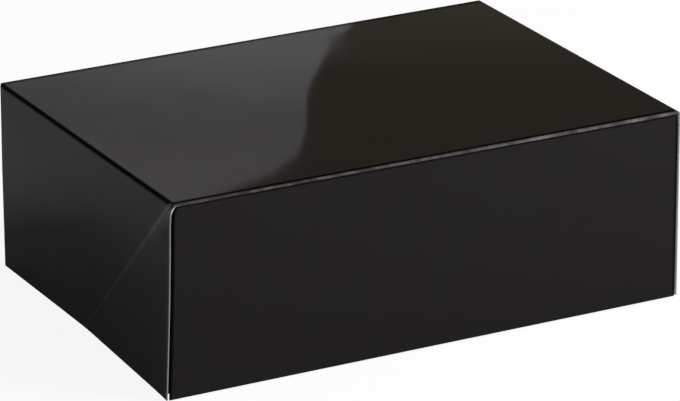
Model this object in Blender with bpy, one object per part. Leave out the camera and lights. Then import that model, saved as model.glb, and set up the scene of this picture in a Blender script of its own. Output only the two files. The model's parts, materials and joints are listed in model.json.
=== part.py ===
"""Gift box of creased board with a hinged lid, pre-glued at six corners, standing closed.

The real box is one die-cut sheet, printed on the outside, folded along its creases and glued at the
four corners of the base and at the two front corners of the lid. Here each panel between two creases
is a solid of its own, with a narrow gap where the crease runs. Every box end has creases at 45 degrees,
which let the glued box fold flat for storage.

Metres, +Z up. The origin is under the middle of the closed box, and its front faces -Y.
"""
import math

import bmesh
import bpy
from mathutils import Euler, Vector

# Outside size of the closed box.
BOX_WIDTH = 0.254
BOX_DEPTH = 0.183
BOX_HEIGHT = 0.090

# The board, its creases and its glue.
BOARD = 0.0005
CREASE_GAP = 0.0003
FOLD_RADIUS_SHARE = 0.8
GLUE_FILM = 0.0001
GLUE_TOUCH = 0.0001
GLUE_INSET = 0.002

# How the lid fits over the base and stands clear of the table.
LID_FRONT_PLAY = 0.0006
LID_END_PLAY = 0.0004
LID_SEAT_GAP = 0.0003
LID_FOOT_CLEARANCE = 0.0006

# The free back edge of the lid's end flaps, which leans forward towards its lower corner.
END_FLAP_BACK_SETBACK = 0.0004
END_FLAP_STRAIGHT_DROP = 0.042
END_FLAP_BACK_LEAN = 0.001

# The end walls of the base, which keep at least this width between their creases up to the rim.
END_WALL_LAND = 0.003

# Where the crease of each end of the lid starts, behind the top's front corner.
LID_CREASE_SETBACK = 0.004

# The glued corners.
GUSSET_SETBACK = 0.0002
TAB_WIDTH = 0.021
TAB_CREASE_MARGIN = 0.004
TAB_FOOT_MARGIN = 0.003
TAB_END_SLOPE = math.radians(12)

# Distances that follow from the sizes above.
GLUE_GAP = GLUE_FILM + 2 * GLUE_TOUCH
LID_END_ROOM = GLUE_GAP + BOARD + LID_END_PLAY
BASE_WIDTH = BOX_WIDTH - 2 * (BOARD + LID_END_ROOM)
BASE_DEPTH = BOX_DEPTH - BOARD - LID_FRONT_PLAY
BASE_MIDDLE_Y = (BOX_DEPTH - BASE_DEPTH) / 2
PANEL_SETBACK = BOARD + GLUE_GAP
LID_WALL_TOP = BOX_HEIGHT - BOARD - CREASE_GAP
BASE_WALL_TOP = BOX_HEIGHT - BOARD - LID_SEAT_GAP
BASE_WALL_FOOT = BOARD + CREASE_GAP
HINGE_RADIUS = BOARD / 2
HINGE_Y = BOX_DEPTH / 2 - HINGE_RADIUS
HINGE_Z = BOX_HEIGHT - HINGE_RADIUS
HINGE_CLEARANCE = HINGE_RADIUS + CREASE_GAP

FOLD_SEGMENTS = 3
HINGE_SIDES = 16
SHARP_ANGLE = math.radians(60)

# A panel is drawn as it is seen from outside, with X to the right and Z up. These turns face it outwards.
FACING = {
    "front": Euler((0, 0, 0)),
    "back": Euler((0, 0, math.pi)),
    "left": Euler((0, 0, -math.pi / 2)),
    "right": Euler((0, 0, math.pi / 2)),
    "up": Euler((-math.pi / 2, 0, 0)),
    "down": Euler((math.pi / 2, 0, 0)),
}
SIDES = {"left": -1, "right": 1}
ENDS = {"front": 1, "back": -1}

# The edges of a rectangle, in the order in which its outline runs.
LOW_EDGE, RIGHT_EDGE, HIGH_EDGE, LEFT_EDGE = range(4)


def clear_scene():
    """Remove the objects that a new file starts with."""
    for obj in list(bpy.data.objects):
        bpy.data.objects.remove(obj, do_unlink=True)


def make_material(name, colour, roughness):
    """Principled material with one colour and one roughness."""
    material = bpy.data.materials.new(name)
    material.use_nodes = True
    shader = material.node_tree.nodes["Principled BSDF"]
    shader.inputs["Base Color"].default_value = (*colour, 1.0)
    shader.inputs["Roughness"].default_value = roughness
    shader.inputs["Metallic"].default_value = 0.0
    return material


def make_empty(name, location):
    """Empty that a group of panels hangs on."""
    empty = bpy.data.objects.new(name, None)
    empty.location = location
    bpy.context.collection.objects.link(empty)
    return empty


def rectangle(left, right, low, high):
    """Outline of a rectangle, anticlockwise from its lower left corner."""
    return [Vector((left, low)), Vector((right, low)), Vector((right, high)), Vector((left, high))]


def cut(outline, point, keep):
    """The part of a convex outline beyond a straight cut through point, on the side keep points to."""
    kept = []
    for here, there in zip(outline, outline[1:] + outline[:1]):
        depth_here = (here - point).dot(keep)
        depth_there = (there - point).dot(keep)
        if depth_here >= 0:
            kept.append(here)
        if depth_here * depth_there < 0:
            kept.append(here.lerp(there, depth_here / (depth_here - depth_there)))
    return kept


def mirrored(outline):
    """The same outline seen from behind, still anticlockwise."""
    return [Vector((-point.x, point.y)) for point in reversed(outline)]


def facing_end(outline, side):
    """Turn an outline drawn with its front to the right so that it suits the left or the right end."""
    return outline if side == "left" else mirrored(outline)


def add_solid(name, mesh_maker, location, turn, material, parent):
    """Link a named object with the mesh that mesh_maker draws, placed in the box's frame."""
    bm = bmesh.new()
    mesh_maker(bm)
    bmesh.ops.recalc_face_normals(bm, faces=bm.faces)
    mesh = bpy.data.meshes.new(name)
    bm.to_mesh(mesh)
    bm.free()
    mesh.materials.append(material)
    obj = bpy.data.objects.new(name, mesh)
    obj.parent = parent
    obj.location = Vector(location) - parent.location
    obj.rotation_euler = turn
    bpy.context.collection.objects.link(obj)
    return obj


def add_panel(name, outline, location, facing, material, parent, thickness=BOARD, folds=()):
    """Flat piece of board whose outer face has the given outline, with the edges in folds rounded off."""

    def draw(bm):
        outer = [bm.verts.new((point.x, 0, point.y)) for point in outline]
        inner = [bm.verts.new((point.x, thickness, point.y)) for point in outline]
        bm.faces.new(outer)
        bm.faces.new(reversed(inner))
        fold_weight = bm.edges.layers.float.new("bevel_weight_edge")
        for index, corner in enumerate(outer):
            after = (index + 1) % len(outer)
            bm.faces.new((corner, inner[index], inner[after], outer[after]))
            bm.edges.get((corner, outer[after]))[fold_weight] = float(index in folds)

    obj = add_solid(name, draw, location, FACING[facing], material, parent)
    if folds:
        rounding = obj.modifiers.new("fold_rounding", "BEVEL")
        rounding.limit_method = "WEIGHT"
        rounding.width = thickness * FOLD_RADIUS_SHARE
        rounding.segments = FOLD_SEGMENTS
    return obj


def crease_side(outline, corner, keep_u, keep_v):
    """The part of an outline on one side of a 45 degree crease from a corner, half a crease gap off it."""
    keep = Vector((keep_u, keep_v)).normalized()
    return cut(outline, corner + keep * CREASE_GAP / 2, keep)


def end_wall_outline():
    """End wall of the base, whose creases rise at 45 degrees to the rim or until only the land is left."""
    half_land = END_WALL_LAND / 2
    crease_start = BASE_DEPTH / 2 - CREASE_GAP / math.sqrt(2)
    meeting_height = min(crease_start - half_land, BASE_WALL_TOP)
    front_half = [
        Vector((crease_start - BASE_WALL_FOOT, BASE_WALL_FOOT)),
        Vector((crease_start - meeting_height, meeting_height)),
    ]
    if meeting_height < BASE_WALL_TOP:
        front_half.append(Vector((half_land, BASE_WALL_TOP)))
    return front_half + mirrored(front_half)


def tab_outline(low, high, crease_corner, towards_crease, inset=0.0):
    """Glue tab drawn from its fold at the right, kept off a 45 degree crease and inset on every side.

    The crease runs left from crease_corner, downwards where towards_crease is -1 and upwards where it is 1.
    """
    fold_edge = crease_corner.x - inset
    outline = rectangle(crease_corner.x - TAB_WIDTH + inset, fold_edge, low + inset, high - inset)
    off_crease = Vector((1, towards_crease)).normalized()
    outline = cut(outline, crease_corner + off_crease * (TAB_CREASE_MARGIN + inset), off_crease)
    wide_end = high if towards_crease > 0 else low
    slope_start = Vector((fold_edge, wide_end - towards_crease * (TAB_FOOT_MARGIN + inset)))
    off_slope = Vector((math.sin(TAB_END_SLOPE), -towards_crease * math.cos(TAB_END_SLOPE)))
    return cut(outline, slope_start, off_slope)


def add_glued_corner(name, gusset, tab_limits, outer_face, side, towards_front, materials, parent):
    """Gusset, the film of glue inside it and the tab inside that, drawn with the corner at the right."""
    board, glue = materials
    face_x, middle_y = outer_face
    layers = (
        ("gusset", gusset, 0, BOARD, board),
        ("glue", tab_outline(*tab_limits, inset=GLUE_INSET), BOARD + GLUE_TOUCH, GLUE_FILM, glue),
        ("tab", tab_outline(*tab_limits), BOARD + GLUE_GAP, BOARD, board),
    )
    for kind, outline, depth, thickness, material in layers:
        turned = outline if towards_front > 0 else mirrored(outline)
        place = (face_x - SIDES[side] * depth, middle_y, 0)
        add_panel(f"{name}_{kind}", facing_end(turned, side), place, side, material, parent, thickness)


def add_base_walls(board, parent):
    """Bottom and the two long walls of the base."""
    half_width = BASE_WIDTH / 2
    half_depth = BASE_DEPTH / 2
    bottom = rectangle(-half_width, half_width, -half_depth, half_depth)
    all_folds = (LOW_EDGE, RIGHT_EDGE, HIGH_EDGE, LEFT_EDGE)
    add_panel("base_bottom", bottom, (0, BASE_MIDDLE_Y, 0), "down", board, parent, folds=all_folds)

    half_panel = half_width - PANEL_SETBACK
    wall_tops = {"front": BASE_WALL_TOP, "back": HINGE_Z - HINGE_CLEARANCE}
    for end, wall_top in wall_tops.items():
        wall = rectangle(-half_panel, half_panel, BASE_WALL_FOOT, wall_top)
        place = (0, BASE_MIDDLE_Y - ENDS[end] * half_depth, 0)
        add_panel(f"base_{end}_wall", wall, place, end, board, parent, folds=(RIGHT_EDGE, LEFT_EDGE))


def add_base_end(side, materials, parent):
    """One end of the base: the end wall between its two creases, and the glued corner on either side."""
    half_depth = BASE_DEPTH / 2
    outer_face = (SIDES[side] * BASE_WIDTH / 2, BASE_MIDDLE_Y)
    wall = facing_end(end_wall_outline(), side)
    add_panel(f"base_{side}_end_wall", wall, (*outer_face, 0), side, materials[0], parent)

    half_land = END_WALL_LAND / 2 + CREASE_GAP
    gusset = rectangle(half_land, half_depth - GUSSET_SETBACK, BASE_WALL_FOOT, BASE_WALL_TOP)
    gusset = crease_side(gusset, Vector((half_depth, 0)), 1, 1)
    tab_fold = Vector((half_depth - BOARD - CREASE_GAP, 0))
    tab_limits = (BASE_WALL_FOOT, BASE_WALL_TOP, tab_fold, 1)
    for end, towards_front in ENDS.items():
        name = f"base_{end}_{side}"
        add_glued_corner(name, gusset, tab_limits, outer_face, side, towards_front, materials, parent)


def add_lid_panels(board, parent):
    """Top and front flap of the lid."""
    half_width = BOX_WIDTH / 2
    half_depth = BOX_DEPTH / 2
    top = rectangle(-half_width, half_width, -half_depth, HINGE_Y - HINGE_CLEARANCE)
    top_folds = (LOW_EDGE, RIGHT_EDGE, LEFT_EDGE)
    add_panel("lid_top", top, (0, 0, BOX_HEIGHT), "up", board, parent, folds=top_folds)

    half_panel = half_width - PANEL_SETBACK
    flap = rectangle(-half_panel, half_panel, LID_FOOT_CLEARANCE, LID_WALL_TOP)
    flap_folds = (RIGHT_EDGE, LEFT_EDGE)
    add_panel("lid_front_flap", flap, (0, -half_depth, 0), "front", board, parent, folds=flap_folds)


def add_lid_end(side, materials, parent):
    """One end of the lid: the end flap with its free back edge, and the glued front corner."""
    half_depth = BOX_DEPTH / 2
    outer_face = (SIDES[side] * BOX_WIDTH / 2, 0)
    crease_corner = Vector((half_depth - LID_CREASE_SETBACK, BOX_HEIGHT))
    back_edge = END_FLAP_BACK_SETBACK - half_depth

    whole = rectangle(back_edge, half_depth - GUSSET_SETBACK, LID_FOOT_CLEARANCE, LID_WALL_TOP)
    flap = crease_side(whole, crease_corner, -1, 1)
    lean_start = Vector((back_edge, BOX_HEIGHT - END_FLAP_STRAIGHT_DROP))
    lean_height = lean_start.y - LID_FOOT_CLEARANCE
    flap = cut(flap, lean_start, Vector((lean_height, END_FLAP_BACK_LEAN)))
    add_panel(f"lid_{side}_end_flap", facing_end(flap, side), (*outer_face, 0), side, materials[0], parent)

    gusset = crease_side(whole, crease_corner, 1, -1)
    tab_fold = Vector((half_depth - BOARD - CREASE_GAP, BOX_HEIGHT))
    tab_limits = (LID_FOOT_CLEARANCE, LID_WALL_TOP, tab_fold, -1)
    add_glued_corner(f"lid_{side}", gusset, tab_limits, outer_face, side, 1, materials, parent)


def add_hinge_crease(board, parent):
    """The creased strip between the base's back wall and the lid, as a round bead on the hinge's axis."""
    length = BASE_WIDTH - 2 * PANEL_SETBACK

    def draw(bm):
        bmesh.ops.create_cone(
            bm, cap_ends=True, segments=HINGE_SIDES, radius1=HINGE_RADIUS, radius2=HINGE_RADIUS, depth=length
        )

    lying_along_x = Euler((0, math.pi / 2, 0))
    bead = add_solid("lid_hinge_crease", draw, (0, HINGE_Y, HINGE_Z), lying_along_x, board, parent)
    bead.data.shade_smooth()
    bead.data.set_sharp_from_angle(angle=SHARP_ANGLE)


def main():
    """Build the closed box."""
    clear_scene()
    board = make_material("gloss_black_board", (0.012, 0.011, 0.011), 0.12)
    glue = make_material("dried_glue", (0.55, 0.5, 0.4), 0.5)
    materials = (board, glue)
    base = make_empty("base_frame", (0, 0, 0))
    hinge = make_empty("lid_hinge_axis", (0, HINGE_Y, HINGE_Z))

    add_base_walls(board, base)
    add_lid_panels(board, hinge)
    for side in SIDES:
        add_base_end(side, materials, base)
        add_lid_end(side, materials, hinge)
    add_hinge_crease(board, base)


main()
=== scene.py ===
"""The looks of a gift box of gloss black board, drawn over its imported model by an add-on's operators.

The real box is one sheet of white-cored board, varnished black outside and bare inside, that is folded
and glued at six corners. Each panel between two creases is a piece of its own here.
Metres, +Z up. The front faces -Y, and the origin is under the middle of the closed box.
"""
import json
import math
from collections import namedtuple

import bmesh
import bpy
from bpy.props import FloatProperty, FloatVectorProperty, IntProperty, PointerProperty
from bpy.types import Operator, Panel, PropertyGroup
from mathutils import Matrix, Vector, noise
from mathutils.geometry import convex_hull_2d


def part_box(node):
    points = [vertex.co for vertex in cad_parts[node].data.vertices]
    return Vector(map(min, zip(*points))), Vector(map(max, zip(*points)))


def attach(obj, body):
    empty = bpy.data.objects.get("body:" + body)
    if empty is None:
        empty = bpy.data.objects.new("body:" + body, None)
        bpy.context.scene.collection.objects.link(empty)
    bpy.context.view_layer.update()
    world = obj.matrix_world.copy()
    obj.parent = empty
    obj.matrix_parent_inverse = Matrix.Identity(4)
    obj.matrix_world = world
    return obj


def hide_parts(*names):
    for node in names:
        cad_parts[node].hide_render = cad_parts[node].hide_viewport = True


bl_info = {
    "name": "Gloss Black Gift Box",
    "version": (1, 0, 0),
    "blender": (4, 5, 0),
    "location": "View3D > Sidebar > Gift Box",
    "description": "Panels, creases, glue and photo stage of a folding gift box with a hinged lid",
    "category": "Object",
}

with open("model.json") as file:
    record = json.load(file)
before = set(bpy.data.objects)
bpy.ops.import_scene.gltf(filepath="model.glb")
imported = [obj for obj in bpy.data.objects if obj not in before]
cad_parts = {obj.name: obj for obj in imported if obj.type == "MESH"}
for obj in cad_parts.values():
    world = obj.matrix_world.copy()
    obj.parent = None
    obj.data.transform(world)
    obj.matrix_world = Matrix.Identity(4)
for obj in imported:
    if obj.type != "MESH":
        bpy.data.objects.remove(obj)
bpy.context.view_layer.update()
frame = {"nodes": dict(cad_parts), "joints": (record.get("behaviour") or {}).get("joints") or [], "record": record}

MM = 0.001
MICRON = 1e-6
LID_LOW, LID_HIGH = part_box("lid_top")
BOARD = LID_HIGH.z - LID_LOW.z
TOP_Z = LID_HIGH.z
FRONT_Y = LID_LOW.y
LEFT_X = LID_LOW.x
CREASE_ROOM = TOP_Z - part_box("lid_front_flap")[1].z
GUSSET_LOW, GUSSET_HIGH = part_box("lid_left_gusset")
CREASE_SETBACK = (GUSSET_HIGH.y - FRONT_Y) - (TOP_Z - GUSSET_LOW.z)
HINGE = Vector(frame["joints"][0]["pos_m"])
LID_NODES = frame["record"]["behaviour"]["bodies"]["lid"]


class GiftBoxShape(PropertyGroup):
    """Sizes of the folds, creases and unevenness of the board."""

    fold_reach: FloatProperty(
        name="Fold Reach", description="Width of board that bends on each side of a fold",
        default=1.3 * MM, unit="LENGTH")
    fold_drop: FloatProperty(
        name="Fold Drop", description="How far a fold's middle lies inside the panels' corner",
        default=0.4 * MM, unit="LENGTH")
    fold_steps: IntProperty(
        name="Fold Steps", description="Strips of mesh on each side of a fold", default=9)
    rim_radius: FloatProperty(
        name="Rim Radius", description="Rounding of the board's cut edges",
        default=0.03 * MM, unit="LENGTH")
    ridge_height: FloatProperty(
        name="Ridge Height", description="How far a flat crease stands out",
        default=0.14 * MM, unit="LENGTH")
    ridge_reach: FloatProperty(
        name="Ridge Reach", description="Width of a flat crease to each side",
        default=1.9 * MM, unit="LENGTH")
    bead_radius: FloatProperty(
        name="Bead Radius", description="Radius of the pressed bead inside a crease",
        default=0.2 * MM, unit="LENGTH")
    bead_step: FloatProperty(
        name="Bead Step", description="Distance between a bead's rings of mesh",
        default=2 * MM, unit="LENGTH")
    bead_unevenness: FloatProperty(
        name="Bead Unevenness", description="How much a bead's thickness varies",
        default=0.5, subtype="FACTOR")
    drop_radius: FloatProperty(
        name="Drop Radius", description="Radius of a middling drop of glue",
        default=0.8 * MM, unit="LENGTH")
    drop_density: FloatProperty(
        name="Drop Density", description="Drops of glue on a square metre of tab", default=260000.0)
    mesh_spacing: FloatProperty(
        name="Mesh Spacing", description="Distance between the cuts across a panel",
        default=4 * MM, unit="LENGTH")
    wave_height: FloatProperty(
        name="Wave Height", description="Unevenness of the board's flat panels",
        default=0.03 * MM, unit="LENGTH")
    wave_length: FloatProperty(
        name="Wave Length", description="Distance between two waves of the board",
        default=38 * MM, unit="LENGTH")
    end_spread: FloatProperty(
        name="End Spread", description="Angle by which the lid's left end stands off below its fold",
        default=math.radians(0.45), subtype="ANGLE")
    corner_spread: FloatProperty(
        name="Corner Spread", description="Angle by which the lid's left gusset springs out further",
        default=math.radians(4.0), subtype="ANGLE")
    edge_curl: FloatProperty(
        name="Edge Curl", description="How far the front edge of that gusset curls outwards",
        default=2.6 * MM, unit="LENGTH")
    curl_reach: FloatProperty(
        name="Curl Reach", description="Width of gusset that curls", default=9 * MM, unit="LENGTH")
    spread_fade: FloatProperty(
        name="Spread Fade", description="Width of front flap over which the spread fades",
        default=80 * MM, unit="LENGTH")


class GiftBoxLook(PropertyGroup):
    """Colours and finish of the board and the glue."""

    print_colour: FloatVectorProperty(
        name="Print Colour", description="Black ink under the varnish",
        default=(0.0026, 0.001, 0.0018), subtype="COLOR")
    core_colour: FloatVectorProperty(
        name="Core Colour", description="White core at the board's cut edges",
        default=(0.31, 0.302, 0.292), subtype="COLOR")
    inside_colour: FloatVectorProperty(
        name="Inside Colour", description="Bare white inside of the board",
        default=(0.78, 0.765, 0.735), subtype="COLOR")
    glue_colour: FloatVectorProperty(
        name="Glue Colour", description="Dried glue", default=(0.62, 0.55, 0.4), subtype="COLOR")
    gloss: FloatProperty(
        name="Gloss", description="Weight of the varnish coat", default=0.395, subtype="FACTOR")
    gloss_roughness: FloatProperty(
        name="Gloss Roughness", description="Blur of what the varnish reflects",
        default=0.038, subtype="FACTOR")


class GiftBoxStage(PropertyGroup):
    """Camera, floor and light."""

    camera_azimuth: FloatProperty(
        name="Camera Azimuth", description="Turn of the view to the right of +Y",
        default=math.radians(27.865), subtype="ANGLE")
    camera_elevation: FloatProperty(
        name="Camera Elevation", description="Angle by which the view looks down",
        default=math.radians(20.615), subtype="ANGLE")
    camera_roll: FloatProperty(
        name="Camera Roll", description="Anticlockwise turn of the camera",
        default=math.radians(-0.27), subtype="ANGLE")
    camera_place: FloatVectorProperty(
        name="Camera Place", description="Where the camera stands",
        default=(-0.9751, -1.8467, 0.8252), subtype="TRANSLATION")
    camera_lens: FloatProperty(
        name="Camera Lens", description="Focal length in millimetres", default=257.24)
    floor_colour: FloatVectorProperty(
        name="Floor Colour", description="Pale floor", default=(0.9, 0.9, 0.9), subtype="COLOR")
    key_share: FloatProperty(
        name="Key Share", description="Light of the softbox on a level surface, where 1 is full light",
        default=0.72, subtype="FACTOR")
    fill_share: FloatProperty(
        name="Fill Share", description="Light of the surroundings", default=0.28, subtype="FACTOR")
    dim_tone: FloatVectorProperty(
        name="Dim Tone", description="Light from the screen behind the right side of the lid",
        default=(0.246, 0.227, 0.166), subtype="COLOR")


class Signal:
    """An output of a node, written in sums as if it were a number."""

    def __init__(self, tree, socket):
        self.tree = tree
        self.socket = socket

    def combine(self, operation, first, second):
        return self.tree.node("ShaderNodeMath", {0: first, 1: second}, operation=operation)["Value"]

    def __add__(self, other):
        return self.combine("ADD", self, other)

    def __sub__(self, other):
        return self.combine("SUBTRACT", self, other)

    def __rsub__(self, other):
        return self.combine("SUBTRACT", other, self)

    def __mul__(self, other):
        return self.combine("MULTIPLY", self, other)

    def __truediv__(self, other):
        return self.combine("DIVIDE", self, other)

    def __gt__(self, other):
        return self.combine("GREATER_THAN", self, other)

    __radd__ = __add__
    __rmul__ = __mul__


class MadeNode:
    """A node whose outputs are read by name or number as signals."""

    def __init__(self, tree, made):
        self.tree = tree
        self.made = made

    def __getitem__(self, name):
        return Signal(self.tree, pick_socket(self.made.outputs, name))


class Tree:
    """A node tree that is filled by calls to node."""

    def __init__(self, node_tree):
        self.node_tree = node_tree
        node_tree.nodes.clear()

    def node(self, kind, inputs=None, **settings):
        """Add a node: first its settings, then a value or a link for each input, by name or number."""
        made = self.node_tree.nodes.new(kind)
        for name, value in settings.items():
            setattr(made, name, value)
        for name, value in (inputs or {}).items():
            socket = pick_socket(made.inputs, name)
            if isinstance(value, Signal):
                self.node_tree.links.new(value.socket, socket)
            else:
                socket.default_value = value
        return MadeNode(self, made)


def pick_socket(sockets, name):
    """The socket in use with that number or name."""
    if isinstance(name, int):
        return sockets[name]
    return next(socket for socket in sockets if socket.name == name and not socket.is_unavailable)


def opaque(colour):
    """A colour with full alpha, or a signal as it is."""
    return colour if isinstance(colour, Signal) else (*colour, 1.0)


def toned(colour, share):
    """A colour made that many times as bright."""
    return [share * part for part in colour]


def smooth_step(value, low, high):
    """0 below low, 1 above high and a smooth rise between them."""
    share = min(1.0, max(0.0, (value - low) / (high - low)))
    return share * share * (3 - 2 * share)


def fade(value, low, high):
    """1 below low, 0 above high and a smooth fall between them."""
    return 1 - smooth_step(value, low, high)


def between(start, end, share):
    """The value at that share of the way from start to end."""
    return start * (1 - share) + end * share


def smooth_range(tree, signal, low, high):
    """The same smooth rise as smooth_step, for a signal in a shader."""
    inputs = {"Value": signal, "From Min": low, "From Max": high}
    return tree.node("ShaderNodeMapRange", inputs, interpolation_type="SMOOTHSTEP")["Result"]


def own_place(tree):
    """Coordinates of the piece itself, in metres."""
    return tree.node("ShaderNodeTexCoord")["Object"]


def painted(tree, name):
    """Value that a piece's mesh holds under that name."""
    return tree.node("ShaderNodeAttribute", attribute_name=name)["Fac"]


def mottle(tree, place, scale, detail=2.0, roughness=0.5):
    """Noise of about 1 / scale metres, from 0 to 1."""
    inputs = {"Vector": place, "Scale": scale, "Detail": detail, "Roughness": roughness}
    return tree.node("ShaderNodeTexNoise", inputs)["Fac"]


def mix_colours(tree, factor, first, second):
    """The first colour where factor is 0 and the second where it is 1."""
    inputs = {"Factor": factor, "A": opaque(first), "B": opaque(second)}
    return tree.node("ShaderNodeMix", inputs, data_type="RGBA")["Result"]


def bump(tree, height, strength, distance):
    """Normal of a surface with that height of relief."""
    inputs = {"Height": height, "Strength": strength, "Distance": distance}
    return tree.node("ShaderNodeBump", inputs)["Normal"]


def make_material(name, make_surface):
    """Material of that name, made once, from a function that makes its shader in a tree."""
    material = bpy.data.materials.get(name)
    if material is None:
        material = bpy.data.materials.new(name)
        material.use_nodes = True
        tree = Tree(material.node_tree)
        tree.node("ShaderNodeOutputMaterial", {"Surface": make_surface(tree)})
    return material


def box_material(describe, look):
    """Material of a part of the box, named after the function that describes its principled shader."""

    def surface(tree):
        return tree.node("ShaderNodeBsdfPrincipled", describe(tree, own_place(tree), look))["BSDF"]

    return make_material(describe.__name__, surface)


SOIL_COLOUR = (0.2, 0.185, 0.165)
FLECK_COLOUR = (0.45, 0.41, 0.35)


def frayed(tree, rub_and_painted_highlight, colour, look):
    """The colour, or that of loose bright fibres where a corner of the board is wholly worn."""
    wholly_worn = smooth_range(tree, rub_and_painted_highlight, 0.92, 1.0)
    return mix_colours(tree, wholly_worn, colour, toned(look.core_colour, 1.8))


def gloss_black_print(tree, place, look):
    """Black ink under gloss varnish, rubbed and dulled where the panel's mesh says so. Along the lid's creases the
    rubbed value also lightens the ink as a painted highlight.
    """
    cloud = mottle(tree, place, 45, 3)
    fibre = mottle(tree, place, 1400, 3, 0.6)
    crack = mottle(tree, place, 2600, 2, 0.6)
    streak = mottle(tree, place, 170, 2)
    rub_and_painted_highlight = painted(tree, "rubbed")
    dulled = painted(tree, "dulled")
    # The ink goes in cracks and streaks before the whole edge is bare.
    patchy = rub_and_painted_highlight + (crack - 0.5) * 0.5 + (streak - 0.5) * 0.5
    rubbed = smooth_range(tree, patchy, 0.62, 0.97) * smooth_range(tree, rub_and_painted_highlight, 0.0, 0.3)
    ink = mix_colours(tree, cloud, toned(look.print_colour, 0.75), toned(look.print_colour, 1.3))
    bare = mix_colours(tree, fibre, toned(look.core_colour, 0.3), toned(look.core_colour, 0.8))
    # The even lightening that grows with the rubbed value is partly wear and partly a painted highlight: the soft
    # light line along the lid's creases.
    printed = mix_colours(tree, rubbed * 0.75 + rub_and_painted_highlight * rub_and_painted_highlight * 0.35, ink, bare)
    return {
        "Base Color": frayed(tree, rub_and_painted_highlight, printed, look),
        "Roughness": 0.42 + cloud * 0.1 + rubbed * 0.3,
        "Specular IOR Level": 0.0,
        "Coat Weight": (look.gloss - cloud * 0.05) * (1 - dulled * 0.95) * (1 - rubbed * 0.8),
        "Coat Roughness": look.gloss_roughness,
        "Normal": bump(tree, fibre + rubbed * crack * 2.0, 0.5, 0.01 * MM),
    }


def white_core_edge(tree, place, look):
    """Cut edge of the board, with its pressed plies and short fibres."""
    fibre = mottle(tree, place, 5200, 3, 0.65)
    soil = mottle(tree, place, 260, 3)
    clean = mix_colours(tree, fibre, toned(look.core_colour, 0.72), look.core_colour)
    soiled = mix_colours(tree, smooth_range(tree, soil, 0.45, 0.8) * 0.5, clean, SOIL_COLOUR)
    return {
        "Base Color": frayed(tree, painted(tree, "rubbed"), soiled, look),
        "Roughness": 0.8 + fibre * 0.15,
        "Specular IOR Level": 0.2,
        "Normal": bump(tree, fibre, 0.6, 0.04 * MM),
    }


def bare_white_inside(tree, place, look):
    """Bare white board with faint fibres and clouds."""
    cloud = mottle(tree, place, 30, 4, 0.55)
    fibre = mottle(tree, place, 1900, 4, 0.65)
    fleck = smooth_range(tree, mottle(tree, place, 850, 1), 0.72, 0.78)
    grain = cloud * 0.6 + fibre * 0.4
    plain = mix_colours(tree, grain, toned(look.inside_colour, 0.9), look.inside_colour)
    return {
        "Base Color": mix_colours(tree, fleck * 0.35, plain, FLECK_COLOUR),
        "Roughness": 0.78 + cloud * 0.12,
        "Specular IOR Level": 0.25,
        "Normal": bump(tree, fibre + cloud * 0.5, 0.35, 0.03 * MM),
    }


def dried_glue(tree, place, look):
    """Dried glue, yellowish and a little glossy, with small bubbles."""
    cloud = mottle(tree, place, 220, 3)
    bubble = tree.node("ShaderNodeTexVoronoi", {"Vector": place, "Scale": 1500.0})["Distance"]
    return {
        "Base Color": mix_colours(tree, cloud, toned(look.glue_colour, 0.7), look.glue_colour),
        "Roughness": 0.3 + cloud * 0.25,
        "Normal": bump(tree, smooth_range(tree, bubble, 0.1, 0.5), 0.4, 0.03 * MM),
    }


def creased_strip(tree, place, look):
    """Strip of board that the lid turns on: printed black to the back, bare white to the front."""
    printed = tree.node("ShaderNodeSeparateXYZ", {"Vector": place})["Y"] > HINGE.y
    fibre = mottle(tree, place, 1400, 3, 0.6)
    crack = smooth_range(tree, mottle(tree, place, 2600, 2, 0.6), 0.6, 0.75)
    bare = mix_colours(tree, fibre, toned(look.inside_colour, 0.85), look.inside_colour)
    ink = mix_colours(tree, crack * 0.12, look.print_colour, look.core_colour)
    return {
        "Base Color": mix_colours(tree, printed, bare, ink),
        "Roughness": 0.55 + fibre * 0.2,
        "Specular IOR Level": 0.1,
        "Coat Weight": printed * look.gloss * 0.4,
        "Coat Roughness": look.gloss_roughness,
        "Normal": bump(tree, fibre + crack, 0.5, 0.02 * MM),
    }


def board_materials(look):
    """Materials of a panel, in the order of OUTSIDE, CORE and INSIDE."""
    return [box_material(part, look) for part in (gloss_black_print, white_core_edge, bare_white_inside)]


# A panel is drawn as seen from outside: these are its directions to the right, upwards and into the box.
X, Y, Z = (Vector(axis) for axis in ((1, 0, 0), (0, 1, 0), (0, 0, 1)))
FACINGS = {"front": (X, Z, Y), "back": (-X, Z, -Y), "left": (-Y, Z, X), "right": (Y, Z, -X),
           "up": (X, Y, -Z), "down": (X, -Y, Z)}
SIDES = ("left", "right")
FRONT_OF = {"left": "right", "right": "left"}
OUTSIDE, CORE, INSIDE = range(3)
END_FOLD_SOFTNESS = 1.5
CORNER_FOLD_SOFTNESS = 1.3
SHARP_ANGLE = math.radians(32)

# The lid's front left corner is frayed, with a haze about it. A reach gives the distances at which that
# starts to fade and has faded.
WORN_CORNER = Vector((LEFT_X, FRONT_Y, TOP_Z - 1.5 * MM))
FRAYED_REACH = (3.4 * MM / 3, 3.4 * MM)
HAZE = 0.4
HAZE_REACH = (5 * MM, 26 * MM)

# Kinds of edge. A fold starts at this panel's own edge and a seam at the neighbour's outer face. A merged
# edge is left out, so that the two beside it meet.
FOLD, SEAM, CREASE, HINGED, CUT, MERGED = "fold", "seam", "crease", "hinged", "cut", "merged"
BENT = (FOLD, SEAM, HINGED)

# Distances from an edge at which its wear starts to fade and has faded. Across a crease the wide reach spreads the
# rub into a painted highlight, the soft light line of the crease's ridge, on top of its wear.
RUBBED_REACH = {
    FOLD: (0.9 * MM, 2.0 * MM), SEAM: (0.5 * MM, 1.1 * MM), CREASE: (0.6 * MM, 2.1 * MM),
    HINGED: (0.1 * MM, 0.5 * MM), CUT: (0.3 * MM, 1.1 * MM),
}
DULLED_REACH = (0.8 * MM, 1.7 * MM)

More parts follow.
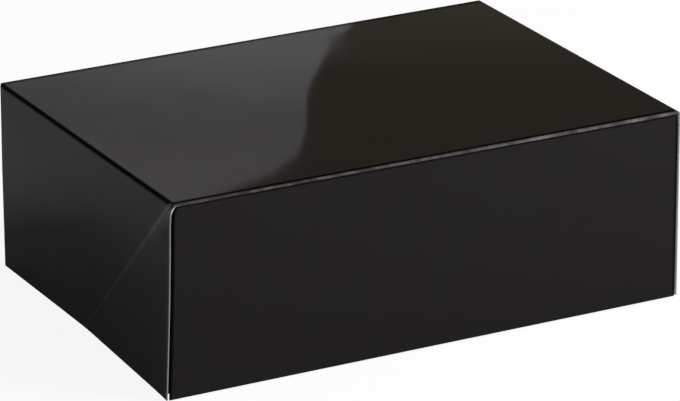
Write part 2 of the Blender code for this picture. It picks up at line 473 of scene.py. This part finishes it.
# An edge is worn by 0 to 1 at its start and its end. A scuff moves that inwards, and a dull band is a
# further width that has lost its gloss.
Edge = namedtuple("Edge", "kind wear_start wear_end softness scuff_start scuff_end dull_band",
                  defaults=(0.1, 0.1, 1.0, 0.0, 0.0, 0.0))
EdgeLine = namedtuple("EdgeLine", "normal offset edge start end")


def direction_name(normal):
    """Right, up, left or down, diagonal at 45 degrees, or slanted."""
    names = {"right": (1, 0), "up": (0, 1), "left": (-1, 0), "down": (0, -1)}
    tolerance = math.radians(1)
    for name, direction in names.items():
        if normal.dot(Vector(direction)) > math.cos(tolerance):
            return name
    return "diagonal" if abs(abs(normal.x) - abs(normal.y)) < math.sin(tolerance) else "slanted"


def growth(kind):
    """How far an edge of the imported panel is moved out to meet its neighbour."""
    across_crease = (CREASE_ROOM - BOARD) / 2
    to_hinge = HINGE.y + BOARD / 2 - LID_HIGH.y
    return {SEAM: CREASE_ROOM, CREASE: across_crease, HINGED: to_hinge}.get(kind, 0)


def in_box(facing, point, depth):
    """The place in the box of a panel's point at that depth."""
    right, up, inwards = FACINGS[facing]
    return right * point.x + up * point.y + inwards * depth


def outline_edges(node, facing, edges):
    """The straight sides of a packed panel, anticlockwise from outside, and its outer face's depth."""
    right, up, inwards = FACINGS[facing]
    corners = [vertex.co for vertex in frame["nodes"][node].data.vertices]
    same_direction = math.cos(math.radians(0.5))
    flat = {(round(corner.dot(right) / MICRON), round(corner.dot(up) / MICRON)) for corner in corners}
    flat = [Vector(place) * MICRON for place in sorted(flat)]
    hull = [flat[index] for index in convex_hull_2d(flat)]
    lines = []
    for here, after in zip(hull, hull[1:] + hull[:1]):
        along = (after - here).normalized()
        normal = Vector((along.y, -along.x))
        if lines and lines[-1].normal.dot(normal) > same_direction:
            continue
        edge = edges.get(direction_name(normal), Edge(CUT))
        if edge.kind != MERGED:
            offset = here.dot(normal) + growth(edge.kind)
            lines.append(EdgeLine(normal, offset, edge, here.dot(along), after.dot(along)))
    return lines, min(corner.dot(inwards) for corner in corners)


def ring_depths(shape):
    """Depths of the rings of mesh round a panel, from its outer face to its inner one."""
    gathering = 4
    shares = [step / shape.fold_steps for step in range(shape.fold_steps + 1)]
    depths = [shape.fold_drop * share ** gathering for share in shares]
    return [*depths, BOARD - shape.rim_radius, BOARD - shape.rim_radius / 4, BOARD]


def fold_inset(depth, reach, drop):
    """How far a bent outer face lies inside its corner line. At drop's depth it slopes at 45 degrees."""
    return drop + reach * (1 - (depth / drop) ** (drop / reach)) if depth < drop else depth


def edge_inset(edge, depth, shape):
    """How far an edge of that kind lies inside its line at a depth below the outer face."""
    if edge.kind in (FOLD, SEAM):
        return fold_inset(depth, shape.fold_reach * edge.softness, shape.fold_drop)
    if edge.kind == HINGED:
        radius = BOARD / 2
        inside_crease = 0.015 * MM
        return radius - math.sqrt(max(0, radius ** 2 - (depth - radius) ** 2)) + inside_crease
    if edge.kind == CUT:
        radius = shape.rim_radius
        above = max(0, radius - min(depth, BOARD - depth))
        return radius - math.sqrt(max(0, radius ** 2 - above ** 2))
    return 0


def side_material(kind, depth, shape):
    """Material of the side of a panel at a depth."""
    if kind == HINGED:
        return OUTSIDE if depth < BOARD / 2 else INSIDE
    printed = {FOLD: shape.fold_drop, SEAM: shape.fold_drop, CUT: shape.rim_radius}.get(kind, 0)
    return OUTSIDE if depth < printed else CORE


def meeting_point(first, second, first_inset, second_inset):
    """Where two sides cross, each moved inwards by its inset."""
    first_offset = first.offset - first_inset
    second_offset = second.offset - second_inset
    spread = first.normal.x * second.normal.y - first.normal.y * second.normal.x
    return Vector((
        (first_offset * second.normal.y - second_offset * first.normal.y) / spread,
        (second_offset * first.normal.x - first_offset * second.normal.x) / spread,
    ))


def draw_board(bm, lines, shape):
    """Closed solid of one panel: rings from the outer face at height 0 to the inner face below it."""
    depths = ring_depths(shape)
    loops = []
    for depth in depths:
        insets = [edge_inset(line.edge, depth, shape) for line in lines]
        points = [meeting_point(lines[index - 1], line, insets[index - 1], insets[index])
                  for index, line in enumerate(lines)]
        loops.append([bm.verts.new((*point, -depth)) for point in points])
    bm.faces.new(loops[0]).material_index = OUTSIDE
    bm.faces.new(reversed(loops[-1])).material_index = INSIDE
    for outer, inner, outer_depth, inner_depth in zip(loops, loops[1:], depths, depths[1:]):
        middle = (outer_depth + inner_depth) / 2
        for index, line in enumerate(lines):
            after = (index + 1) % len(lines)
            face = bm.faces.new((outer[index], inner[index], inner[after], outer[after]))
            face.material_index = side_material(line.edge.kind, middle, shape)


# Where a panel is cut along a crease, in shares of its ridge, along a dull band and beside a fold.
CREASE_CUTS = (0.15, 0.3, 0.45, 0.6, 0.8, 1.0, 1.2)
DULL_BAND_CUTS_MM = (2.7, 3.4, 4.1, 4.8, 5.5)
FOLD_CUT = 0.3 * MM


def slice_board(bm, lines, shape):
    """Cut a panel across in a grid, and along its creases and folds, so that it can be uneven."""

    def slice_at(normal, offset):
        geometry = bm.verts[:] + bm.edges[:] + bm.faces[:]
        normal = normal.to_3d()
        bmesh.ops.bisect_plane(bm, geom=geometry, dist=MICRON, plane_co=normal * offset, plane_no=normal)

    for axis in (X.xy, Y.xy):
        places = [vertex.co.xy.dot(axis) for vertex in bm.verts]
        low, high = min(places), max(places)
        count = max(2, round((high - low) / shape.mesh_spacing))
        for step in range(1, count):
            slice_at(axis, low + (high - low) * step / count)
    for line in lines:
        if line.edge.kind == CREASE:
            for share in CREASE_CUTS:
                slice_at(line.normal, line.offset - shape.ridge_reach * share)
        if line.edge.kind in BENT:
            slice_at(line.normal, line.offset - edge_inset(line.edge, 0, shape) - FOLD_CUT)
        if line.edge.dull_band:
            for place in DULL_BAND_CUTS_MM:
                slice_at(line.normal, line.offset - place * MM)


def edge_distances(lines, point):
    """Distance of a point inside a panel from each of its sides."""
    return [line.offset - line.normal.dot(point) for line in lines]


def relief(point, depth, lines, shape, seed):
    """How far the board stands out at a point: its waves, which the edges hold flat, and its creases."""
    freedom = 1.0
    ridge = 0.0
    held_reach = (3 * MM, 22 * MM)
    for line, distance in zip(lines, edge_distances(lines, point)):
        if line.edge.kind != CUT:
            freedom *= smooth_step(distance, *held_reach)
        if line.edge.kind == CREASE:
            swell = math.cos(math.pi / 2 * min(1.0, distance / shape.ridge_reach)) ** 2
            ridge += shape.ridge_height * swell * (1 - depth / BOARD)
    wave = noise.noise(Vector((*(point / shape.wave_length), seed)))
    return wave * shape.wave_height * freedom + ridge


def wear_at(point, depth, lines):
    """How far the print is rubbed through, and how far its gloss has gone, both most along the edges. Along the
    lid's creases the rub is partly a painted highlight.
    """
    rubbed = 0.0
    dulled = 0.0
    near, far = DULLED_REACH
    for line, distance in zip(lines, edge_distances(lines, point)):
        edge = line.edge
        along = Vector((-line.normal.y, line.normal.x)).dot(point)
        share = min(1.0, max(0.0, (along - line.start) / (line.end - line.start)))
        wear = between(edge.wear_start, edge.wear_end, share)
        away = math.hypot(distance, depth) - between(edge.scuff_start, edge.scuff_end, share)
        rubbed = max(rubbed, wear * fade(away, *RUBBED_REACH[edge.kind]))
        if edge.kind in BENT:
            dulled = max(dulled, fade(away - edge.dull_band, near, far * edge.softness))
    return rubbed, dulled


def spread_left_end(place, shape):
    """Move a point of the lid outwards, as far as its left end has sprung away from the base there."""
    fold_hold = 2.5 * MM
    crease_hold = 2.2 * MM
    drop = max(0, TOP_Z - place.z)
    behind = max(0, place.y - FRONT_Y)
    freed = 1 - math.exp(-drop / fold_hold)
    ahead = max(0, (drop + CREASE_SETBACK - behind) / math.sqrt(2)) * freed
    curled = 1 - math.exp(-ahead / crease_hold)
    curled *= math.exp(-2 * drop / TOP_Z)
    curled *= math.exp(-behind / shape.curl_reach)
    sprung = drop * math.tan(shape.end_spread) + ahead * math.tan(shape.corner_spread)
    share = fade(place.x, LEFT_X + 2 * MM, LEFT_X + shape.spread_fade)
    return place - Vector(((sprung + shape.edge_curl * curled) * share, 0, 0))


def add_object(name, data):
    """A new object of the scene."""
    obj = bpy.data.objects.new(name, data)
    bpy.context.scene.collection.objects.link(obj)
    return obj


def plain_mesh(name, outlines):
    """A mesh with a face for each outline, or an edge where it has only two corners."""
    corners, edges, faces = [], [], []
    for outline in outlines:
        numbers = tuple(range(len(corners), len(corners) + len(outline)))
        (edges if len(outline) == 2 else faces).append(numbers)
        corners += outline
    mesh = bpy.data.meshes.new(name)
    mesh.from_pydata(corners, edges, faces)
    return mesh


def add_piece(name, mesh, body, nodes=()):
    """Make a mesh a piece that rides on a body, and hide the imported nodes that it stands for."""
    piece = add_object(name, mesh)
    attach(piece, body)
    if nodes:
        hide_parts(*nodes)


def make_board(node, facing, edges, shape, look):
    """One panel of board with folds, cut edges, creases and slight waves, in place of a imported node."""
    lines, outer_depth = outline_edges(node, facing, edges)
    bm = bmesh.new()
    draw_board(bm, lines, shape)
    slice_board(bm, lines, shape)
    # The rubbed value holds wear, and along the lid's creases also a painted highlight.
    rubbed = bm.verts.layers.float.new("rubbed")
    dulled = bm.verts.layers.float.new("dulled")
    seed = sum(node.encode()) / 10
    body = "lid" if node in LID_NODES else "base"
    for vertex in bm.verts:
        point, depth = vertex.co.xy, -vertex.co.z
        vertex[rubbed], vertex[dulled] = wear_at(point, depth, lines)
        sunk = outer_depth + depth - relief(point, depth, lines, shape, seed)
        place = in_box(facing, point, sunk)
        away = (place - WORN_CORNER).length
        if node in ("lid_left_gusset", "lid_top"):
            vertex[rubbed] = max(vertex[rubbed], fade(away, *FRAYED_REACH))
        if node == "lid_left_gusset":
            vertex[dulled] = max(vertex[dulled], HAZE * fade(away, *HAZE_REACH))
        vertex.co = spread_left_end(place, shape) if body == "lid" else place
    mesh = bpy.data.meshes.new(f"{node}_board")
    bm.to_mesh(mesh)
    bm.free()
    for material in board_materials(look):
        mesh.materials.append(material)
    mesh.shade_smooth()
    mesh.set_sharp_from_angle(angle=SHARP_ANGLE)
    add_piece(f"{node}_board", mesh, body, [node])


def lid_panels():
    """Facing and special edges of each panel of the lid."""
    corner_fold = Edge(FOLD, softness=CORNER_FOLD_SOFTNESS)
    end_seam = Edge(SEAM, softness=END_FOLD_SOFTNESS)
    panels = {
        "lid_top": ("up", {
            "down": Edge(FOLD, 0.72, 0.77, scuff_start=1.5 * MM, dull_band=2.3 * MM),
            "left": Edge(FOLD), "right": Edge(FOLD, 0.3, 0.1), "up": Edge(HINGED)}),
        "lid_front_flap": ("front", {
            "up": Edge(SEAM, 0.78, 0.74, scuff_start=0.55 * MM, scuff_end=-0.45 * MM, dull_band=0.1 * MM),
            "left": corner_fold, "right": corner_fold}),
    }
    for side in SIDES:
        # The wear along each end's flat crease, stronger at one end, is partly wear and partly a painted
        # highlight: the soft light line of the crease's ridge, which fades along it.
        panels[f"lid_{side}_end_flap"] = (side, {"up": end_seam, "diagonal": Edge(CREASE, 0.3, 0.75)})
        panels[f"lid_{side}_gusset"] = (side, {
            "up": end_seam, "diagonal": Edge(CREASE, 0.75, 0.3), FRONT_OF[side]: Edge(CUT, 0.9, 0.9)})
        panels[f"lid_{side}_tab"] = (side, {FRONT_OF[side]: Edge(SEAM, softness=CORNER_FOLD_SOFTNESS)})
    return panels


def base_panels():
    """Facing and special edges of each panel of the base."""
    foot_fold = Edge(FOLD, 0.3, 0.3)
    foot_seam = Edge(SEAM, 0.3, 0.3)
    long_wall = {"down": foot_seam, "left": Edge(FOLD), "right": Edge(FOLD)}
    panels = {
        "base_bottom": ("down", {name: foot_fold for name in ("left", "right", "up", "down")}),
        "base_front_wall": ("front", long_wall),
        "base_back_wall": ("back", {**long_wall, "up": Edge(HINGED)}),
    }
    for side in SIDES:
        panels[f"base_{side}_end_wall"] = (side, {"down": foot_seam, "diagonal": Edge(CREASE)})
        for end in ("front", "back"):
            tab_fold = FRONT_OF[side] if end == "front" else side
            panels[f"base_{end}_{side}_gusset"] = (side, {"down": Edge(MERGED), "diagonal": Edge(CREASE)})
            panels[f"base_{end}_{side}_tab"] = (side, {tab_fold: Edge(SEAM)})
    return panels


def box_settings(context):
    """The shape and the look that the user has set."""
    return context.scene.gift_box_shape, context.scene.gift_box_look


def make_boards(panels, context):
    """The boards of several panels."""
    for node, (facing, edges) in panels.items():
        make_board(node, facing, edges, *box_settings(context))


def new_shape_tree(name, **values):
    """A Geometry Nodes group for a geometry, values and a material, its tree and its input node."""
    group = bpy.data.node_groups.new(name, "GeometryNodeTree")
    for socket, kind in {"Geometry": "Geometry", **values, "Material": "Material"}.items():
        group.interface.new_socket(socket, in_out="INPUT", socket_type=f"NodeSocket{kind}")
    group.interface.new_socket("Geometry", in_out="OUTPUT", socket_type="NodeSocketGeometry")
    tree = Tree(group)
    return group, tree, tree.node("NodeGroupInput")


def finish_shape_tree(tree, geometry, material):
    """Close the tree: instances made real, shaded smooth, with their material."""
    for kind in ("GeometryNodeSetShadeSmooth", "GeometryNodeRealizeInstances"):
        geometry = tree.node(kind, {"Geometry": geometry})["Geometry"]
    inputs = {"Geometry": geometry, "Material": material}
    finished = tree.node("GeometryNodeSetMaterial", inputs)["Geometry"]
    tree.node("NodeGroupOutput", {"Geometry": finished})


def bead_group():
    """Nodes that lay a round bead of uneven thickness along each edge of a mesh."""
    group, tree, given = new_shape_tree(
        "pressed_bead", Radius="Float", Step="Float", Unevenness="Float", Seed="Float")
    edges = tree.node("GeometryNodeMeshToCurve", {"Mesh": given["Geometry"]})["Curve"]
    inputs = {"Curve": edges, "Length": given["Step"]}
    path = tree.node("GeometryNodeResampleCurve", inputs, mode="LENGTH")["Curve"]
    place = tree.node("GeometryNodeInputPosition")["Position"]
    inputs = {"Vector": place, "W": given["Seed"], "Scale": 140.0, "Detail": 3.0}
    rough = tree.node("ShaderNodeTexNoise", inputs, noise_dimensions="4D")["Fac"]
    inputs = {"Resolution": 8, "Radius": given["Radius"]}
    ring = tree.node("GeometryNodeCurvePrimitiveCircle", inputs)["Curve"]
    bead = tree.node("GeometryNodeCurveToMesh", {
        "Curve": path, "Profile Curve": ring, "Scale": 1 + (rough - 0.5) * given["Unevenness"],
        "Fill Caps": True})["Mesh"]
    finish_shape_tree(tree, bead, given["Material"])
    return group


def glue_group():
    """Nodes that dot an upright sheet, which faces along X, with flattened drops."""
    group, tree, given = new_shape_tree(
        "glue_drops", Radius="Float", Density="Float", Thickness="Float", Seed="Int")
    inputs = {"Mesh": given["Geometry"], "Density": given["Density"], "Seed": given["Seed"]}
    points = tree.node("GeometryNodeDistributePointsOnFaces", inputs, distribute_method="RANDOM")["Points"]
    tall, wide = (
        tree.node("FunctionNodeRandomValue", {
            "Min": 0.5, "Max": 1.5, "Seed": given["Seed"] + step}, data_type="FLOAT")["Value"]
        for step in (1, 2))
    flat = given["Thickness"] / given["Radius"] * 0.5
    scale = tree.node("ShaderNodeCombineXYZ", {"X": flat, "Y": wide, "Z": tall})["Vector"]
    inputs = {"Radius": given["Radius"], "Subdivisions": 1}
    drop = tree.node("GeometryNodeMeshIcoSphere", inputs)["Mesh"]
    inputs = {"Points": points, "Instance": drop, "Scale": scale}
    drops = tree.node("GeometryNodeInstanceOnPoints", inputs)["Instances"]
    finish_shape_tree(tree, drops, given["Material"])
    return group


def grown_mesh(name, mesh, group, values):
    """The plain mesh that a Geometry Nodes group makes of a mesh, with values for its named inputs."""
    obj = add_object(name, mesh)
    modifier = obj.modifiers.new(name, "NODES")
    modifier.node_group = group
    for item in group.interface.items_tree:
        if item.name in values:
            modifier[item.identifier] = values[item.name]
    graph = bpy.context.evaluated_depsgraph_get()
    grown = bpy.data.meshes.new_from_object(obj.evaluated_get(graph), depsgraph=graph)
    bpy.data.objects.remove(obj)
    for index in reversed(range(len(grown.materials))):
        if grown.materials[index] is None:
            grown.materials.pop(index=index)
    grown.name = name
    return grown


def spread_mesh(mesh, shape):
    """Move a mesh of the lid with its left end."""
    for vertex in mesh.vertices:
        vertex.co = spread_left_end(vertex.co, shape)


def crease_bead(name, paths, radius, material, shape):
    """Mesh of the beads along straight paths, each given by its two ends."""
    return grown_mesh(name, plain_mesh(name, paths), bead_group(), {
        "Radius": radius, "Step": shape.bead_step, "Unevenness": shape.bead_unevenness,
        "Seed": float(len(name)), "Material": material})


BEAD_SINK_SHARE = 0.6


def bead_paths(node, facing, edges, shape):
    """Ends of the beads inside a panel's seams, and of a gusset's crease, a little shortened."""
    lines, outer_depth = outline_edges(node, facing, edges)
    beaded = (SEAM, CREASE) if node.endswith("gusset") else (SEAM,)
    for index, line in enumerate(lines):
        if line.edge.kind in beaded:
            depth = BOARD + (shape.bead_radius * BEAD_SINK_SHARE if line.edge.kind == SEAM else 0)
            before, after = lines[index - 1], lines[(index + 1) % len(lines)]
            inset = edge_inset(line.edge, depth, shape)
            start = meeting_point(before, line, edge_inset(before.edge, BOARD, shape), inset)
            end = meeting_point(line, after, inset, edge_inset(after.edge, BOARD, shape))
            trim = (end - start).normalized() * BOARD * 2
            yield [in_box(facing, point, outer_depth + depth) for point in (start + trim, end - trim)]


GLUE_THICKNESS = 0.26 * MM
GLUE_SEED = 7


def glued_sheet(glue, tab):
    """Outline of a tab where it is glued, in the middle of its film of glue."""
    low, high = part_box(glue)
    middle = (low.x + high.x) / 2
    places = [vertex.co for vertex in frame["nodes"][tab].data.vertices]
    corners = sorted({(round(place.y, 6), round(place.z, 6)) for place in places})
    held = [Vector((min(y, high.y) if "back" in tab else max(y, low.y), z)) for y, z in corners]
    return [(middle, *held[index]) for index in convex_hull_2d(held)]


class GIFTBOX_OT_hinge_crease(Operator):
    """Draw the creased strip of board that the lid turns on"""

    bl_idname = "gift_box.hinge_crease"
    bl_label = "Hinge Crease"

    def execute(self, context):
        shape, look = box_settings(context)
        path = [(end.x, HINGE.y, HINGE.z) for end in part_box("lid_hinge_crease")]
        material = box_material(creased_strip, look)
        mesh = crease_bead("hinge_crease_strip", [path], BOARD / 2, material, shape)
        add_piece("hinge_crease_strip", mesh, "base", ["lid_hinge_crease"])
        return {"FINISHED"}


class GIFTBOX_OT_crease_beads(Operator):
    """Draw the beads that the creasing rules press into the inside of the board"""

    bl_idname = "gift_box.crease_beads"
    bl_label = "Crease Beads"

    def execute(self, context):
        shape, look = box_settings(context)
        inside = board_materials(look)[INSIDE]
        for body, panels in (("base", base_panels()), ("lid", lid_panels())):
            paths = [path for node, (facing, edges) in panels.items()
                     for path in bead_paths(node, facing, edges, shape)]
            mesh = crease_bead(f"{body}_crease_beads", paths, shape.bead_radius, inside, shape)
            if body == "lid":
                spread_mesh(mesh, shape)
            add_piece(f"{body}_crease_beads", mesh, body)
        return {"FINISHED"}


class GIFTBOX_OT_corner_glue(Operator):
    """Dot the glued corners with drops of dried glue, a few of which show past the tabs"""

    bl_idname = "gift_box.corner_glue"
    bl_label = "Corner Glue"

    def execute(self, context):
        shape, look = box_settings(context)
        material = box_material(dried_glue, look)
        group = glue_group()
        for body, panels in (("base", base_panels()), ("lid", lid_panels())):
            tabs = [node for node in panels if node.endswith("tab")]
            glues = [tab.replace("tab", "glue") for tab in tabs]
            outlines = [glued_sheet(glue, tab) for glue, tab in zip(glues, tabs)]
            sheet = plain_mesh(f"{body}_glue", outlines)
            mesh = grown_mesh(f"{body}_glue_drops", sheet, group, {
                "Radius": shape.drop_radius, "Density": shape.drop_density, "Thickness": GLUE_THICKNESS,
                "Seed": GLUE_SEED, "Material": material})
            if body == "lid":
                spread_mesh(mesh, shape)
            add_piece(f"{body}_glue_drops", mesh, body, glues)
        return {"FINISHED"}


class GIFTBOX_OT_lid_panels(Operator):
    """Draw the panels of the lid: top, front flap, end flaps, gussets and tabs"""

    bl_idname = "gift_box.lid_panels"
    bl_label = "Lid Panels"

    def execute(self, context):
        make_boards(lid_panels(), context)
        return {"FINISHED"}


class GIFTBOX_OT_base_panels(Operator):
    """Draw the panels of the base: bottom, walls, gussets and tabs"""

    bl_idname = "gift_box.base_panels"
    bl_label = "Base Panels"

    def execute(self, context):
        make_boards(base_panels(), context)
        return {"FINISHED"}


# Places on the lid, right and forwards from its back left corner, that mirror what is behind the box:
# the edge of the dim screen, and the brightest spot of the backdrop.
GLEAM_EDGE_MM = ((200, -20), (183, 1), (176, 11), (169, 18), (161, 22), (158, 25), (150, 34), (143, 44),
                 (133, 59), (119, 78), (107, 100), (94, 124), (85, 137), (78, 147), (69, 155), (57, 164),
                 (38, 173), (10, 183), (-40, 192))
GLARE_MM = (150, -10)

# Each rise gives the heights between which a screen's low colour changes to its high one.
DIM_SCREEN_DISTANCE = 1.3
DIM_SCREEN_MARGIN = 1.4
DIM_LOW_SHARE = 1.6
DIM_RISE = (0.47, 0.54)
BACKDROP_DISTANCE = 2.0
BACKDROP_SIZE = (5.0, 3.0)
BACKDROP_LOW = (0.62, 0.597, 0.611)
BACKDROP_HIGH = (0.92, 0.885, 0.906)
BACKDROP_RISE = (0.78, 0.89)
GLARE_COLOUR = (1.17, 1.145, 1.155)
GLARE_SIZE = (0.42, 0.112)
GLARE_FADE = (0.05, 1.1)

KEY_TOWARDS = Vector((0.564, -0.484, 0.669)).normalized()
KEY_DISTANCE = 1.6
KEY_SIZE = 0.85
FLOOR_REACH = 12.0
FLOOR_DROP = 0.2 * MM
WHITE = (1, 1, 1, 1)


def add_stage_mesh(name, corners, material):
    """Flat polygon that belongs to the stage."""
    mesh = plain_mesh(name, [corners])
    mesh.materials.append(material)
    obj = add_object(name, mesh)
    return obj


def seen_directly(tree, camera_share, mirror_share):
    """How much of a plain white a ray sees: the camera's rays most, reflections a little."""
    path = tree.node("ShaderNodeLightPath")
    mirrored = path["Is Glossy Ray"] + path["Is Transmission Ray"]
    return path["Is Camera Ray"] * camera_share + mirrored * mirror_share


def rising(tree, low_colour, high_colour, low, high):
    """Colour that changes with the height above the floor."""
    height = tree.node("ShaderNodeSeparateXYZ", {"Vector": own_place(tree)})["Z"]
    return mix_colours(tree, smooth_range(tree, height, low, high), low_colour, high_colour)


def glow(tree, colour):
    """Shader that gives light of a colour."""
    return tree.node("ShaderNodeEmission", {"Color": colour, "Strength": 1.0})["Emission"]


def add_screen(name, corners, make_colour):
    """Screen that shows in reflections alone, in the colour that a function makes in its tree."""
    material = make_material(name, lambda tree: glow(tree, make_colour(tree)))
    screen = add_stage_mesh(name, corners, material)
    for rays in ("camera", "diffuse", "shadow", "transmission", "volume_scatter"):
        setattr(screen, f"visible_{rays}", False)


def add_floor(stage):
    """Pale floor that keeps the box's shadow."""

    def surface(tree):
        lit = tree.node("ShaderNodeBsdfDiffuse", {"Color": opaque(stage.floor_colour)})["BSDF"]
        factor = seen_directly(tree, camera_share=0.9, mirror_share=0.03)
        return tree.node("ShaderNodeMixShader", {0: factor, 1: lit, 2: glow(tree, WHITE)})["Shader"]

    signs = ((-1, -1), (1, -1), (1, 1), (-1, 1))
    corners = [(x * FLOOR_REACH, y * FLOOR_REACH, -FLOOR_DROP) for x, y in signs]
    add_stage_mesh("floor", corners, make_material("pale_floor", surface))


def add_surroundings(stage):
    """White surroundings, which light the box softly."""
    world = bpy.data.worlds.new("white_surroundings")
    bpy.context.scene.world = world
    world.use_nodes = True
    tree = Tree(world.node_tree)
    fill = stage.fill_share
    mirrored_strength = 0.95
    strength = fill + seen_directly(tree, 1 - fill, mirrored_strength - fill)
    background = tree.node("ShaderNodeBackground", {"Color": WHITE, "Strength": strength})
    tree.node("ShaderNodeOutputWorld", {"Surface": background["Background"]})


def add_key(stage):
    """Softbox to the front right, above the box."""
    light = bpy.data.lights.new("key_softbox", "AREA")
    light.shape = "SQUARE"
    light.size = KEY_SIZE
    light.energy = stage.key_share * math.pi ** 2 * KEY_DISTANCE ** 2 / KEY_TOWARDS.z
    lamp = add_object("key_softbox", light)
    lamp.location = KEY_TOWARDS * KEY_DISTANCE
    lamp.rotation_euler = KEY_TOWARDS.to_track_quat("Z", "Y").to_euler()


def view_ahead(stage):
    """Level directions ahead and to the right, as the camera looks."""
    ahead = Vector((math.sin(stage.camera_azimuth), math.cos(stage.camera_azimuth), 0))
    return ahead, Vector((ahead.y, -ahead.x, 0))


def seen_in_lid(stage, place_mm, distance):
    """The point, that far behind the box, which the camera sees mirrored at a place on the lid."""
    ahead = view_ahead(stage)[0]
    camera = Vector(stage.camera_place)
    below = Vector((camera.x, camera.y, 2 * TOP_Z - camera.z))
    right_mm, forward_mm = place_mm
    ray = Vector((LEFT_X + right_mm * MM, HINGE.y - forward_mm * MM, TOP_Z)) - below
    return below + ray * ((distance - below.dot(ahead)) / ray.dot(ahead))


def add_dim_screen(stage):
    """Dim screen behind the right side of the box. Its edge draws the gleam on the lid."""
    aside = view_ahead(stage)[1]
    high = Z * DIM_SCREEN_MARGIN
    edge = [seen_in_lid(stage, place, DIM_SCREEN_DISTANCE) for place in GLEAM_EDGE_MM]
    foot = edge[0] - Z * edge[0].z
    far_right = foot + aside * DIM_SCREEN_MARGIN * 2
    corners = [foot, *edge, edge[-1] + high, far_right + high, far_right]
    low_tone = toned(stage.dim_tone, DIM_LOW_SHARE)
    add_screen("dim_screen", corners, lambda tree: rising(tree, low_tone, stage.dim_tone, *DIM_RISE))


def add_backdrop(stage):
    """Pale backdrop with a brighter patch, seen in the lid's gleam alone."""
    aside = view_ahead(stage)[1]
    centre = seen_in_lid(stage, GLARE_MM, BACKDROP_DISTANCE)
    right = aside * (BACKDROP_SIZE[0] / 2)
    high = Z * BACKDROP_SIZE[1]
    foot = centre - Z * centre.z

    def glare(tree):
        width, height = GLARE_SIZE
        squeeze = Vector((1 / width, 1 / width, 1 / height))
        inputs = {0: own_place(tree), 1: squeeze}
        squeezed = tree.node("ShaderNodeVectorMath", inputs, operation="MULTIPLY")["Vector"]
        inputs = {0: squeezed, 1: centre * squeeze}
        away = tree.node("ShaderNodeVectorMath", inputs, operation="DISTANCE")["Value"]
        plain = rising(tree, BACKDROP_LOW, BACKDROP_HIGH, *BACKDROP_RISE)
        return mix_colours(tree, smooth_range(tree, away, *GLARE_FADE), GLARE_COLOUR, plain)

    corners = [foot - right, foot + right, foot + right + high, foot - right + high]
    add_screen("backdrop", corners, glare)


def add_camera(stage):
    """Camera at the photo's angle."""
    data = bpy.data.cameras.new("photo_camera")
    data.lens = stage.camera_lens
    data.sensor_width = 36
    camera = add_object("photo_camera", data)
    turn = Matrix.Rotation(-stage.camera_azimuth, 4, "Z")
    tilt = Matrix.Rotation(math.pi / 2 - stage.camera_elevation, 4, "X")
    roll = Matrix.Rotation(stage.camera_roll, 4, "Z")
    camera.matrix_world = Matrix.Translation(stage.camera_place) @ turn @ tilt @ roll
    bpy.context.scene.camera = camera


class GIFTBOX_OT_stage(Operator):
    """Set up the camera, the pale floor, the softbox and the screens that the gloss reflects"""

    bl_idname = "gift_box.stage"
    bl_label = "Photo Stage"

    def execute(self, context):
        stage = context.scene.gift_box_stage
        context.scene.view_settings.view_transform = "Standard"
        add_camera(stage)
        add_floor(stage)
        add_surroundings(stage)
        add_key(stage)
        add_dim_screen(stage)
        add_backdrop(stage)
        return {"FINISHED"}


class GIFTBOX_PT_sidebar(Panel):
    """Settings and steps of the gift box"""

    bl_idname = "GIFTBOX_PT_sidebar"
    bl_label = "Gift Box"
    bl_space_type = "VIEW_3D"
    bl_region_type = "UI"
    bl_category = "Gift Box"

    def draw(self, context):
        for group in SETTINGS:
            settings = getattr(context.scene, group)
            column = self.layout.column(align=True)
            for name in settings.__annotations__:
                column.prop(settings, name)
        for operator in OPERATORS:
            self.layout.operator(operator.bl_idname)


OPERATORS = (GIFTBOX_OT_stage, GIFTBOX_OT_lid_panels, GIFTBOX_OT_base_panels, GIFTBOX_OT_hinge_crease,
             GIFTBOX_OT_crease_beads, GIFTBOX_OT_corner_glue)
CLASSES = (GiftBoxShape, GiftBoxLook, GiftBoxStage, *OPERATORS, GIFTBOX_PT_sidebar)
SETTINGS = {"gift_box_shape": GiftBoxShape, "gift_box_look": GiftBoxLook, "gift_box_stage": GiftBoxStage}


def register():
    for cls in CLASSES:
        bpy.utils.register_class(cls)
    for name, group in SETTINGS.items():
        setattr(bpy.types.Scene, name, PointerProperty(type=group))


def unregister():
    for name in SETTINGS:
        delattr(bpy.types.Scene, name)
    for cls in reversed(CLASSES):
        bpy.utils.unregister_class(cls)


def main():
    """Draw the box and its stage."""
    register()
    for operator in OPERATORS:
        group, name = operator.bl_idname.split(".")
        getattr(getattr(bpy.ops, group), name)()


if __name__ == "__main__":
    main()
